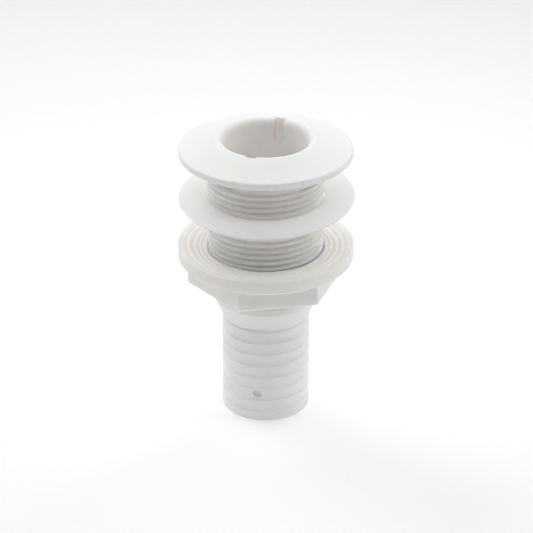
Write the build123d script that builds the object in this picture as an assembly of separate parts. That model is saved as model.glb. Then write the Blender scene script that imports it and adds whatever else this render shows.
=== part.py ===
from build123d import *
import os
from math import cos, radians, sin

# Plastic thru-hull fitting: a flanged body with an outside thread and a hose tail, a thin sealing washer
# and a flanged nut. Millimetres. The origin is the centre of the hose tail's lower end, +Z runs up the
# axis to the flange, and the two keyways in the flange's mouth lie on the Y axis.
# An azimuth is measured from -Y towards +X.

# Pipe thread, nominal size 1 1/4: 11 turns per inch, right-hand
THREAD_PITCH = 25.4 / 11
THREAD_CREST_RADIUS = 41.91 / 2
THREAD_ROOT_RADIUS = 19.75
THREAD_CREST_WIDTH = 0.85
THREAD_ROOT_WIDTH = 0.2
THREAD_BOTTOM = 52.0
THREAD_TOP = 99.0
THREAD_DATUM = 2.0
THREAD_LEAD_IN = 1.0
THREAD_EMBED = 0.25
NECK_RADIUS = 19.9

# Flange with a conical face
FLANGE_RADIUS = 31.2
FLANGE_SEAT_Z = 101.8
FLANGE_RIM_TOP_Z = 104.05
FLANGE_CROWN_Z = 108.0
FLANGE_CROWN_RADIUS = 17.9
FLANGE_TOP_ROUND = 0.9
FLANGE_SEAT_CHAMFER = 0.35
NECK_CHAMFER = 0.6

# Waterway and its mouth
BARREL_BORE_RADIUS = 15.4
MOUTH_ROUND = 2.4
TAIL_BORE_RADIUS = 13.4
BORE_STEP_BOTTOM_Z = 40.0
BORE_STEP_TOP_Z = 47.0
KEYWAY_WIDTH = 3.9
KEYWAY_FLOOR_RADIUS = 18.1
KEYWAY_BOTTOM_Z = 99.8
KEYWAY_OVERRUN = 1.0

# Index nicks on the flange's rim
NICK_AZIMUTHS = (-2.9, 18.4, 41.6)
NICK_WIDTH = 0.6
NICK_DEPTH = 0.45

# Shoulder under the thread: a cone, a collar and a groove above the collar
SHOULDER_FOOT_RADIUS = 15.7
COLLAR_RADIUS = 19.3
COLLAR_BOTTOM_Z = 45.9
COLLAR_TOP_Z = 48.4
COLLAR_GROOVE_RADIUS = 19.1

# Hose tail, for a hose of 32 mm bore
BARB_COUNT = 8
BARB_PITCH = 4.8
LOWEST_LEDGE_Z = 4.1
LOWEST_BARB_RADIUS = 16.35
HIGHEST_BARB_RADIUS = 16.2
BARB_STEP = 0.45
BARB_LEDGE_HEIGHT = 0.5
TAIL_END_CHAMFER = 0.4

# Blind round recess left by the mould's gate
GATE_AZIMUTH = 6.3
GATE_Z = 11.4
GATE_RADIUS = 1.75
GATE_DEPTH = 1.1

# Sealing washer, flat
WASHER_BOTTOM_Z = 85.6
WASHER_THICKNESS = 0.6
WASHER_RADIUS = 31.8
WASHER_HOLE_RADIUS = 21.25

# Flanged nut
NUT_BOTTOM_Z = 52.1
NUT_TOP_Z = 66.5
NUT_HOLE_TOP_Z = 65.35
NUT_FLANGE_BOTTOM_Z = 61.7
NUT_FLANGE_RADIUS = 32.0
NUT_ACROSS_FLATS = 50.0
NUT_CORNER_AZIMUTH = -2.5
NUT_HEXAGON_ROUND = 0.6
NUT_RIM_ROUND = 0.35
NUT_COUNTERSINK_RADIUS = 21.35
NUT_MINOR_RADIUS = 20.15
NUT_MAJOR_RADIUS = 21.15
NUT_THREAD_SETBACK = 0.9
NUT_RIDGE_TIP = 0.3
NUT_RIDGE_BASE = 1.4
NUT_GROOVE_RADII = (28.8, 26.6, 24.4, 22.9)
NUT_GROOVE_WIDTH = 1.2
NUT_GROOVE_DEPTH = 0.4


def at_azimuth(azimuth, radius, z):
    """Place on a circle about the axis, with its X axis pointing outward."""
    polar = azimuth - 90
    return Pos(radius * cos(radians(polar)), radius * sin(radians(polar)), z) * Rot(Z=polar)


def ring(inner_radius, outer_radius, bottom_z, top_z):
    """Plain ring about the Z axis."""
    on_floor = (Align.CENTER, Align.CENTER, Align.MIN)
    height = top_z - bottom_z
    solid = Cylinder(outer_radius, height, align=on_floor) - Cylinder(inner_radius, height, align=on_floor)
    return Pos(Z=bottom_z) * solid


def turned(points, rounds=()):
    """Solid turned about Z from a closed outline of (radius, z) points, with some corners rounded."""
    outline = make_face(Polyline(*points, close=True))
    for corner, size in rounds:
        outline = fillet(outline.vertices().sort_by_distance(corner)[0], size)
    return revolve(Plane.XZ * outline, Axis.Z)


def helical_ridge(base_radius, base_width, tip_radius, tip_width, start_z, end_z):
    """Right-hand ridge of trapezium section; its middle crosses the +X half-plane at start_z."""
    section = Plane.XZ * Polyline(
        (base_radius, -base_width / 2),
        (tip_radius, -tip_width / 2),
        (tip_radius, tip_width / 2),
        (base_radius, base_width / 2),
        close=True,
    )
    path = Helix(pitch=THREAD_PITCH, height=end_z - start_z, radius=base_radius)
    return Pos(Z=start_z) * sweep(make_face(section), path=path, is_frenet=True)


def barb_outline():
    """Points of the hose tail's outer side, from the lowest crest to the foot of the shoulder."""
    taper = (LOWEST_BARB_RADIUS - HIGHEST_BARB_RADIUS) / (BARB_COUNT - 1)
    points = []
    for barb in range(BARB_COUNT):
        ledge_z = LOWEST_LEDGE_Z + barb * BARB_PITCH
        crest_radius = LOWEST_BARB_RADIUS - barb * taper
        points.append((crest_radius, ledge_z - BARB_LEDGE_HEIGHT))
        points.append((crest_radius - BARB_STEP, ledge_z))
    points[-1] = (SHOULDER_FOOT_RADIUS, points[-1][1])
    return points


def turned_body():
    """Hose tail, shoulder, plain barrel and flange as one turned solid with its waterway."""
    points = [
        (TAIL_BORE_RADIUS, TAIL_END_CHAMFER),
        (TAIL_BORE_RADIUS + TAIL_END_CHAMFER, 0),
        (LOWEST_BARB_RADIUS - TAIL_END_CHAMFER, 0),
        (LOWEST_BARB_RADIUS, TAIL_END_CHAMFER),
        *barb_outline(),
        (COLLAR_RADIUS, COLLAR_BOTTOM_Z),
        (COLLAR_RADIUS, COLLAR_TOP_Z),
        (COLLAR_GROOVE_RADIUS, COLLAR_TOP_Z),
        (COLLAR_GROOVE_RADIUS, THREAD_BOTTOM),
        (THREAD_ROOT_RADIUS, THREAD_BOTTOM),
        (THREAD_ROOT_RADIUS, THREAD_TOP),
        (NECK_RADIUS, THREAD_TOP),
        (NECK_RADIUS, FLANGE_SEAT_Z - NECK_CHAMFER),
        (NECK_RADIUS + NECK_CHAMFER, FLANGE_SEAT_Z),
        (FLANGE_RADIUS - FLANGE_SEAT_CHAMFER, FLANGE_SEAT_Z),
        (FLANGE_RADIUS, FLANGE_SEAT_Z + FLANGE_SEAT_CHAMFER),
        (FLANGE_RADIUS, FLANGE_RIM_TOP_Z),
        (FLANGE_CROWN_RADIUS, FLANGE_CROWN_Z),
        (BARREL_BORE_RADIUS, FLANGE_CROWN_Z),
        (BARREL_BORE_RADIUS, BORE_STEP_TOP_Z),
        (TAIL_BORE_RADIUS, BORE_STEP_BOTTOM_Z),
    ]
    rounds = [
        ((FLANGE_RADIUS, FLANGE_RIM_TOP_Z), FLANGE_TOP_ROUND),
        ((BARREL_BORE_RADIUS, FLANGE_CROWN_Z), MOUTH_ROUND),
    ]
    return turned(points, rounds)


def male_thread():
    """Outside thread, cut to a tapered lead-in at its lower end and run out under the neck."""
    ridge = helical_ridge(
        THREAD_ROOT_RADIUS - THREAD_EMBED,
        THREAD_PITCH - THREAD_ROOT_WIDTH,
        THREAD_CREST_RADIUS,
        THREAD_CREST_WIDTH,
        THREAD_BOTTOM - THREAD_DATUM,
        THREAD_TOP + THREAD_DATUM,
    )
    outer = THREAD_CREST_RADIUS + THREAD_LEAD_IN
    inner = THREAD_ROOT_RADIUS - 2 * THREAD_EMBED
    envelope = [
        (inner, THREAD_BOTTOM),
        (THREAD_ROOT_RADIUS, THREAD_BOTTOM),
        (outer, THREAD_BOTTOM + outer - THREAD_ROOT_RADIUS),
        (outer, THREAD_TOP - outer + THREAD_ROOT_RADIUS),
        (THREAD_ROOT_RADIUS, THREAD_TOP),
        (inner, THREAD_TOP),
    ]
    return ridge & turned(envelope)


def fitting_body():
    """Flanged barrel with its thread, hose tail, keyways, rim nicks and gate recess."""
    solid = turned_body() + male_thread()
    keyway_height = FLANGE_CROWN_Z - KEYWAY_BOTTOM_Z + KEYWAY_OVERRUN
    keyways = Box(
        KEYWAY_WIDTH, 2 * KEYWAY_FLOOR_RADIUS, keyway_height, align=(Align.CENTER, Align.CENTER, Align.MIN)
    )
    solid -= Pos(Z=KEYWAY_BOTTOM_Z) * keyways
    rim_middle_z = (FLANGE_SEAT_Z + FLANGE_RIM_TOP_Z) / 2
    rim_height = FLANGE_RIM_TOP_Z - FLANGE_SEAT_Z
    for azimuth in NICK_AZIMUTHS:
        nick = Box(2 * NICK_DEPTH, NICK_WIDTH, 2 * rim_height)
        solid -= at_azimuth(azimuth, FLANGE_RADIUS, rim_middle_z) * nick
    recess = Rot(Y=90) * Cylinder(GATE_RADIUS, 2 * GATE_DEPTH)
    solid -= at_azimuth(GATE_AZIMUTH, LOWEST_BARB_RADIUS - BARB_STEP / 2, GATE_Z) * recess
    return solid


def sealing_washer():
    """Thin flat washer with a clearance hole for the thread."""
    return ring(WASHER_HOLE_RADIUS, WASHER_RADIUS, WASHER_BOTTOM_Z, WASHER_BOTTOM_Z + WASHER_THICKNESS)


def nut_face_z(radius):
    """Height of the nut's dished top face at a radius."""
    slope = (NUT_TOP_Z - NUT_HOLE_TOP_Z) / (NUT_FLANGE_RADIUS - NUT_COUNTERSINK_RADIUS)
    return NUT_TOP_Z - slope * (NUT_FLANGE_RADIUS - radius)


def groove_outline():
    """Points of the V grooves round the nut's top face, from the rim inward."""
    points = []
    for radius in NUT_GROOVE_RADII:
        outer = radius + NUT_GROOVE_WIDTH / 2
        inner = radius - NUT_GROOVE_WIDTH / 2
        points.append((outer, nut_face_z(outer)))
        points.append((radius, nut_face_z(radius) - NUT_GROOVE_DEPTH))
        points.append((inner, nut_face_z(inner)))
    return points


def nut_flange():
    """Round flange with concentric grooves in its top face."""
    points = [
        (0, NUT_FLANGE_BOTTOM_Z),
        (NUT_FLANGE_RADIUS, NUT_FLANGE_BOTTOM_Z),
        (NUT_FLANGE_RADIUS, NUT_TOP_Z),
        *groove_outline(),
        (0, nut_face_z(0)),
    ]
    rounds = [
        ((NUT_FLANGE_RADIUS, NUT_FLANGE_BOTTOM_Z), NUT_RIM_ROUND),
        ((NUT_FLANGE_RADIUS, NUT_TOP_Z), NUT_RIM_ROUND),
    ]
    return turned(points, rounds)


def nut_hexagon():
    """Hexagon under the flange, its corners and lower edges rounded."""
    outline = RegularPolygon(NUT_ACROSS_FLATS / 2, 6, major_radius=False, rotation=NUT_CORNER_AZIMUTH - 90)
    prism = Pos(Z=NUT_BOTTOM_Z) * extrude(outline, NUT_FLANGE_BOTTOM_Z - NUT_BOTTOM_Z)
    edges = prism.edges().filter_by(Axis.Z) + prism.edges().group_by(Axis.Z)[0]
    return fillet(edges, NUT_HEXAGON_ROUND)


def nut_hole():
    """Hole at the thread's major size, countersunk at both ends."""
    countersink = NUT_COUNTERSINK_RADIUS - NUT_MAJOR_RADIUS
    points = [
        (0, NUT_BOTTOM_Z),
        (NUT_COUNTERSINK_RADIUS, NUT_BOTTOM_Z),
        (NUT_MAJOR_RADIUS, NUT_BOTTOM_Z + countersink),
        (NUT_MAJOR_RADIUS, NUT_HOLE_TOP_Z - countersink),
        (NUT_COUNTERSINK_RADIUS, NUT_HOLE_TOP_Z),
        (0, NUT_HOLE_TOP_Z),
    ]
    return turned(points)


def nut_thread():
    """Inside thread that fills the body's thread groove with clearance, with a lead-in at both ends."""
    groove_z = THREAD_BOTTOM - THREAD_DATUM + THREAD_PITCH / 2
    turns_below = int((NUT_BOTTOM_Z - groove_z) / THREAD_PITCH) - 1
    ridge = helical_ridge(
        NUT_MAJOR_RADIUS + THREAD_EMBED,
        NUT_RIDGE_BASE,
        NUT_MINOR_RADIUS,
        NUT_RIDGE_TIP,
        groove_z + turns_below * THREAD_PITCH,
        NUT_TOP_Z + THREAD_DATUM,
    )
    lead_in = NUT_COUNTERSINK_RADIUS - NUT_MAJOR_RADIUS + NUT_THREAD_SETBACK
    reach = NUT_MAJOR_RADIUS - NUT_MINOR_RADIUS + THREAD_EMBED
    envelope = [
        (NUT_MAJOR_RADIUS - reach, NUT_BOTTOM_Z + lead_in + reach),
        (NUT_MAJOR_RADIUS + reach, NUT_BOTTOM_Z + lead_in - reach),
        (NUT_MAJOR_RADIUS + reach, NUT_HOLE_TOP_Z - lead_in + reach),
        (NUT_MAJOR_RADIUS - reach, NUT_HOLE_TOP_Z - lead_in - reach),
    ]
    return ridge & turned(envelope)


def flange_nut():
    """Hexagon nut with a round ridged flange and an inside thread."""
    return nut_flange() + nut_hexagon() - nut_hole() + nut_thread()


parts = {
    "fitting_body": fitting_body(),
    "sealing_washer": sealing_washer(),
    "flange_nut": flange_nut(),
}
os.makedirs("parts", exist_ok=True)
for name, shape in parts.items():
    export_step(shape, f"parts/{name}.step")
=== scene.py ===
import math

import bmesh
import bpy
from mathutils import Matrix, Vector


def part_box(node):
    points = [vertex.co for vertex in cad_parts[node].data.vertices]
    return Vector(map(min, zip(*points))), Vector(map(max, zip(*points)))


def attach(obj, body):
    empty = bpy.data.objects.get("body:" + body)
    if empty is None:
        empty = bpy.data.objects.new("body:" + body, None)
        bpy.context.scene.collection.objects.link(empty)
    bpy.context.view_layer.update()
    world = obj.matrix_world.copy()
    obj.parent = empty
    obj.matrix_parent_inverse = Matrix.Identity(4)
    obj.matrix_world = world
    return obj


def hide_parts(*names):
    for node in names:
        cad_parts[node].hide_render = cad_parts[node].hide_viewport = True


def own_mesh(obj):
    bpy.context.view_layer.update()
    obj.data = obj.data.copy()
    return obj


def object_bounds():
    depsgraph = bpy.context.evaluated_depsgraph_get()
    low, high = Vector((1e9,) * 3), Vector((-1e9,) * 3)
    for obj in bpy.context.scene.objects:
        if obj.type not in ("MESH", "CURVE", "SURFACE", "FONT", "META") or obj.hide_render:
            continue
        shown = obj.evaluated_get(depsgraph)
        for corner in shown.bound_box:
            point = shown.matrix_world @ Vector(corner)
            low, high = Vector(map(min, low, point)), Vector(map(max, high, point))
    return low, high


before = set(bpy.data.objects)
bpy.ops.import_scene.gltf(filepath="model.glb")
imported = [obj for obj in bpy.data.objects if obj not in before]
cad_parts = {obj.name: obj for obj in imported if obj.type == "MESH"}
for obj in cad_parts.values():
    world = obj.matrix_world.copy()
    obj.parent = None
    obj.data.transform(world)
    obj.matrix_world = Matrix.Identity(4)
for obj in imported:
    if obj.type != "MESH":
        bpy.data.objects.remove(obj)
cad_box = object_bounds()

MM = 0.001

# The camera stands in front of the fitting, a little to the right, and looks down on it.
# Azimuths are measured from -Y towards +X.
CAMERA_AZIMUTH = math.radians(17.5)
CAMERA_PITCH = math.radians(27.9)
CAMERA_DISTANCE = 750 * MM
CAMERA_AIM_HEIGHT = 56.2 * MM
CAMERA_SIDE_STEP = 0.27 * MM
LENS = 138.46


def direction(azimuth, elevation):
    """Unit vector from the axis outward at an azimuth, raised by an elevation."""
    return Vector((
        math.sin(azimuth) * math.cos(elevation),
        -math.cos(azimuth) * math.cos(elevation),
        math.sin(elevation),
    ))


def add_object(name, data):
    item = bpy.data.objects.new(name, data)
    bpy.context.scene.collection.objects.link(item)
    return item


# ---- materials ----

# Range of a noise pattern that is stretched to run from 0 to 1
NOISE_RANGE = (0.3, 0.7)
FINE_NOISE_RANGE = (0.35, 0.65)

# Features per metre of each pattern in the plastic, and how rough the grain is
CLOUD_SCALE = 70
SPECK_SCALE = 1400
GLOSS_SCALE = 320
GRAIN_SCALE = 2600
GRAIN_ROUGHNESS = 0.6
WAVE_SCALE = 150

SPECK_SHARE = 0.35
WAVE_TO_GRAIN_DEPTH = 12
PLASTIC_IOR = 1.49
SPECULAR_LEVEL = 0.35
SCATTER_WEIGHT = 0.7
SCATTER_RADII = (1.0, 0.85, 0.75)
SCATTER_DEPTH = 2.6 * MM

# Clean colour, shaded colour, range of roughness and depth of the mould grain
BODY_PLASTIC = ((0.965, 0.95, 0.93), (0.95, 0.93, 0.905), (0.5, 0.62), 0.004 * MM)
NUT_PLASTIC = ((0.955, 0.935, 0.91), (0.935, 0.91, 0.885), (0.5, 0.64), 0.005 * MM)
WASHER_PLASTIC = ((0.955, 0.945, 0.93), (0.94, 0.93, 0.915), (0.52, 0.64), 0.003 * MM)


class Nodes:
    """Short names for building one material's node tree."""

    def __init__(self, name):
        self.material = bpy.data.materials.new(name)
        self.material.use_nodes = True
        self.tree = self.material.node_tree
        self.shader = self.tree.nodes["Principled BSDF"]
        self.place = self.tree.nodes.new("ShaderNodeTexCoord").outputs["Object"]

    def link(self, source, target):
        self.tree.links.new(source, target)

    def noise(self, scale, detail, roughness=0.5):
        """Noise from 0 to 1 over the piece; scale is in features per metre."""
        node = self.tree.nodes.new("ShaderNodeTexNoise")
        node.inputs["Scale"].default_value = scale
        node.inputs["Detail"].default_value = detail
        node.inputs["Roughness"].default_value = roughness
        self.link(self.place, node.inputs["Vector"])
        return node.outputs["Fac"]

    def distance(self):
        """Distance from the piece's own origin, in metres."""
        node = self.tree.nodes.new("ShaderNodeVectorMath")
        node.operation = "LENGTH"
        self.link(self.place, node.inputs[0])
        return node.outputs["Value"]

    def span(self, value, low, high, to_low, to_high):
        """The value, carried from one range to another and held inside it."""
        node = self.tree.nodes.new("ShaderNodeMapRange")
        for socket, number in zip(("From Min", "From Max", "To Min", "To Max"), (low, high, to_low, to_high)):
            node.inputs[socket].default_value = number
        self.link(value, node.inputs["Value"])
        return node.outputs["Result"]

    def add(self, first, second):
        node = self.tree.nodes.new("ShaderNodeMath")
        self.link(first, node.inputs[0])
        self.link(second, node.inputs[1])
        return node.outputs["Value"]

    def blend(self, factor, first, second):
        """Colour between two colours."""
        node = self.tree.nodes.new("ShaderNodeMix")
        node.data_type = "RGBA"
        self.link(factor, node.inputs["Factor"])
        for socket, colour in ((node.inputs[6], first), (node.inputs[7], second)):
            if isinstance(colour, tuple):
                socket.default_value = (*colour, 1)
            else:
                self.link(colour, socket)
        return node.outputs[2]

    def bump(self, height, depth, below=None):
        """Bump of a height field whose full range is depth metres deep."""
        node = self.tree.nodes.new("ShaderNodeBump")
        node.inputs["Strength"].default_value = 1
        node.inputs["Distance"].default_value = depth
        self.link(height, node.inputs["Height"])
        if below is not None:
            self.link(below, node.inputs["Normal"])
        return node.outputs["Normal"]


def moulded_plastic(name, clean, shaded, gloss, grain_depth):
    """White plastic: cloudy colour, a fine mould grain, slow waves in the surface and uneven gloss."""
    n = Nodes(name)
    base = n.blend(n.span(n.noise(CLOUD_SCALE, 3), *NOISE_RANGE, 0, 1), clean, shaded)
    speck = n.span(n.noise(SPECK_SCALE, 2), *FINE_NOISE_RANGE, 0, SPECK_SHARE)
    n.link(n.blend(speck, base, shaded), n.shader.inputs["Base Color"])
    n.link(n.span(n.noise(GLOSS_SCALE, 4), *NOISE_RANGE, *gloss), n.shader.inputs["Roughness"])
    grain = n.bump(n.noise(GRAIN_SCALE, 3, GRAIN_ROUGHNESS), grain_depth)
    waves = n.bump(n.noise(WAVE_SCALE, 2), WAVE_TO_GRAIN_DEPTH * grain_depth, grain)
    n.link(waves, n.shader.inputs["Normal"])
    n.shader.inputs["IOR"].default_value = PLASTIC_IOR
    n.shader.inputs["Specular IOR Level"].default_value = SPECULAR_LEVEL
    n.shader.inputs["Subsurface Weight"].default_value = SCATTER_WEIGHT
    n.shader.inputs["Subsurface Radius"].default_value = SCATTER_RADII
    n.shader.inputs["Subsurface Scale"].default_value = SCATTER_DEPTH
    return n.material


FLOOR_SCALE = 6
FLOOR_WHITES = ((0.89, 0.89, 0.89), (0.91, 0.91, 0.91))
FLOOR_GREY = (0.6, 0.6, 0.6)
FLOOR_ROUGHNESS = 0.7
FLOOR_GLOW = 0.2
FLOOR_FAR_GLOW = 0.3
FLOOR_WHITE_RADIUS = 0.08
FLOOR_GREY_RADIUS = 0.7
FLOOR_FAR_RADIUS = 2.0
FLOOR_RADIUS = 3
FLOOR_SEGMENTS = 96


def floor_material():
    """White table top: a faint glow in the middle, grey under the lamps, a glow out of their reach."""
    n = Nodes("pale_floor")
    outward = n.span(n.distance(), FLOOR_WHITE_RADIUS, FLOOR_GREY_RADIUS, 0, 1)
    white = n.blend(n.span(n.noise(FLOOR_SCALE, 3), *NOISE_RANGE, 0, 1), *FLOOR_WHITES)
    n.link(n.blend(outward, white, FLOOR_GREY), n.shader.inputs["Base Color"])
    n.shader.inputs["Roughness"].default_value = FLOOR_ROUGHNESS
    n.shader.inputs["Emission Color"].default_value = (1, 1, 1, 1)
    near = n.span(outward, 0, 1, FLOOR_GLOW, 0)
    far = n.span(n.distance(), FLOOR_GREY_RADIUS, FLOOR_FAR_RADIUS, 0, FLOOR_FAR_GLOW)
    n.link(n.add(near, far), n.shader.inputs["Emission Strength"])
    return n.material


# ---- the sealing washer: a thin flexible disc that has taken a bend ----

WASHER_STEPS = 144
WASHER_RINGS = 14
WASHER_EDGE_STEPS = 4
WASHER_RADIUS = 31.6 * MM
WASHER_HOLE_RADIUS = 21.25 * MM
WASHER_BEND_RADIUS = 17 * MM
WASHER_DROP = 0.15 * MM
WASHER_MEAN_DROOP = 0.6 * MM
WASHER_DROOP_SWING = 1.8 * MM
WASHER_DROOP_AZIMUTH = math.radians(20)
WASHER_DROOP_POWER = 1.5
WASHER_SIDE_STEP = 0.1 * MM
WASHER_RIM_SIDE_STEP = 0.4 * MM


def washer_point(radius, azimuth, level):
    """Point of the bent washer: it hangs to one side and droops most towards the camera's near left."""
    turn = azimuth - CAMERA_AZIMUTH
    reach = max(0.0, (radius - WASHER_BEND_RADIUS) / (WASHER_RADIUS - WASHER_BEND_RADIUS))
    rim_droop = WASHER_MEAN_DROOP + WASHER_DROOP_SWING * math.cos(turn + WASHER_DROOP_AZIMUTH)
    droop = rim_droop * reach**WASHER_DROOP_POWER
    outward = (radius - WASHER_HOLE_RADIUS) / (WASHER_RADIUS - WASHER_HOLE_RADIUS)
    side = WASHER_SIDE_STEP + (WASHER_RIM_SIDE_STEP - WASHER_SIDE_STEP) * outward
    flat = direction(azimuth, 0) * radius + direction(CAMERA_AZIMUTH + math.pi / 2, 0) * side
    return flat + Vector((0, 0, level - WASHER_DROP - droop))


def make_washer():
    low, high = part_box("sealing_washer")
    outer = WASHER_RADIUS
    inner = WASHER_HOLE_RADIUS
    thickness = high.z - low.z
    middle = (low.z + high.z) / 2
    edge = thickness / 2
    # the section goes round the washer's edge: outward over the top, round the rim and back underneath
    section = []
    for step in range(WASHER_RINGS + 1):
        section.append((inner + edge + (outer - inner - 2 * edge) * step / WASHER_RINGS, edge))
    for step in range(1, WASHER_EDGE_STEPS):
        turn = math.pi / 2 - math.pi * step / WASHER_EDGE_STEPS
        section.append((outer - edge + edge * math.cos(turn), edge * math.sin(turn)))
    for step in range(WASHER_RINGS + 1):
        section.append((outer - edge - (outer - inner - 2 * edge) * step / WASHER_RINGS, -edge))
    for step in range(1, WASHER_EDGE_STEPS):
        turn = -math.pi / 2 - math.pi * step / WASHER_EDGE_STEPS
        section.append((inner + edge + edge * math.cos(turn), edge * math.sin(turn)))
    builder = bmesh.new()
    loops = []
    for step in range(WASHER_STEPS):
        turn = 2 * math.pi * step / WASHER_STEPS
        loop = []
        for radius, rise in section:
            loop.append(builder.verts.new(washer_point(radius, turn, middle + rise)))
        loops.append(loop)
    for loop, following in zip(loops, loops[1:] + loops[:1]):
        for index in range(len(section)):
            after = (index + 1) % len(section)
            builder.faces.new((loop[index], loop[after], following[after], following[index]))
    bmesh.ops.recalc_face_normals(builder, faces=builder.faces)
    mesh = bpy.data.meshes.new("washer_disc")
    builder.to_mesh(mesh)
    builder.free()
    for face in mesh.polygons:
        face.use_smooth = True
    washer = add_object("washer_disc", mesh)
    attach(washer, "washer")
    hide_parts("sealing_washer")
    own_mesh(washer)
    return washer


# ---- camera, floor and lights ----

LIGHT_SIZE = 0.8
LIGHT_DISTANCE = 1.2
SKY_STRENGTH = 0.08

# Name, azimuth to the right of the camera's, elevation and power in watts
LIGHTS = (
    ("front", 0, 60, 3.2),
    ("right", 90, 30, 3.8),
    ("back_right", 135, 38, 3.9),
    ("back", 180, 50, 3.1),
    ("back_left", 225, 39, 5.6),
    ("left", 270, 30, 2.45),
)


def make_camera():
    back = direction(CAMERA_AZIMUTH, CAMERA_PITCH)
    right = direction(CAMERA_AZIMUTH + math.pi / 2, 0)
    data = bpy.data.cameras.new("camera")
    data.lens = LENS
    data.sensor_width = 36
    data.clip_start = 0.01
    data.clip_end = 20
    camera = add_object("camera", data)
    camera.location = Vector((0, 0, CAMERA_AIM_HEIGHT)) + right * CAMERA_SIDE_STEP + back * CAMERA_DISTANCE
    camera.rotation_mode = "QUATERNION"
    camera.rotation_quaternion = back.to_track_quat("Z", "Y")
    bpy.context.scene.camera = camera


def make_floor():
    builder = bmesh.new()
    bmesh.ops.create_circle(builder, cap_ends=True, radius=FLOOR_RADIUS, segments=FLOOR_SEGMENTS)
    mesh = bpy.data.meshes.new("floor")
    builder.to_mesh(mesh)
    builder.free()
    mesh.materials.append(floor_material())
    floor = add_object("floor", mesh)
    floor.location.z = cad_box[0].z


def soft_light(name, side, elevation, power):
    """Round soft light that faces the object."""
    data = bpy.data.lights.new(name, "AREA")
    data.shape = "DISK"
    data.size = LIGHT_SIZE
    data.energy = power
    light = add_object(name, data)
    back = direction(CAMERA_AZIMUTH + math.radians(side), math.radians(elevation))
    light.location = Vector((0, 0, CAMERA_AIM_HEIGHT)) + back * LIGHT_DISTANCE
    light.rotation_mode = "QUATERNION"
    light.rotation_quaternion = back.to_track_quat("Z", "Y")
    light.visible_camera = False


def make_lights():
    for light in LIGHTS:
        soft_light(*light)
    world = bpy.data.worlds.new("world")
    world.use_nodes = True
    background = world.node_tree.nodes["Background"]
    background.inputs["Color"].default_value = (1, 1, 1, 1)
    background.inputs["Strength"].default_value = SKY_STRENGTH
    bpy.context.scene.world = world


def dress(node, material):
    """Gives a CAD node its finished material."""
    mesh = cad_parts[node].data
    mesh.materials.clear()
    mesh.materials.append(material)


dress("fitting_body", moulded_plastic("body_plastic", *BODY_PLASTIC))
dress("flange_nut", moulded_plastic("nut_plastic", *NUT_PLASTIC))
washer = make_washer()
washer.data.materials.append(moulded_plastic("washer_plastic", *WASHER_PLASTIC))
make_camera()
make_floor()
make_lights()
bpy.context.scene.view_settings.view_transform = "Standard"
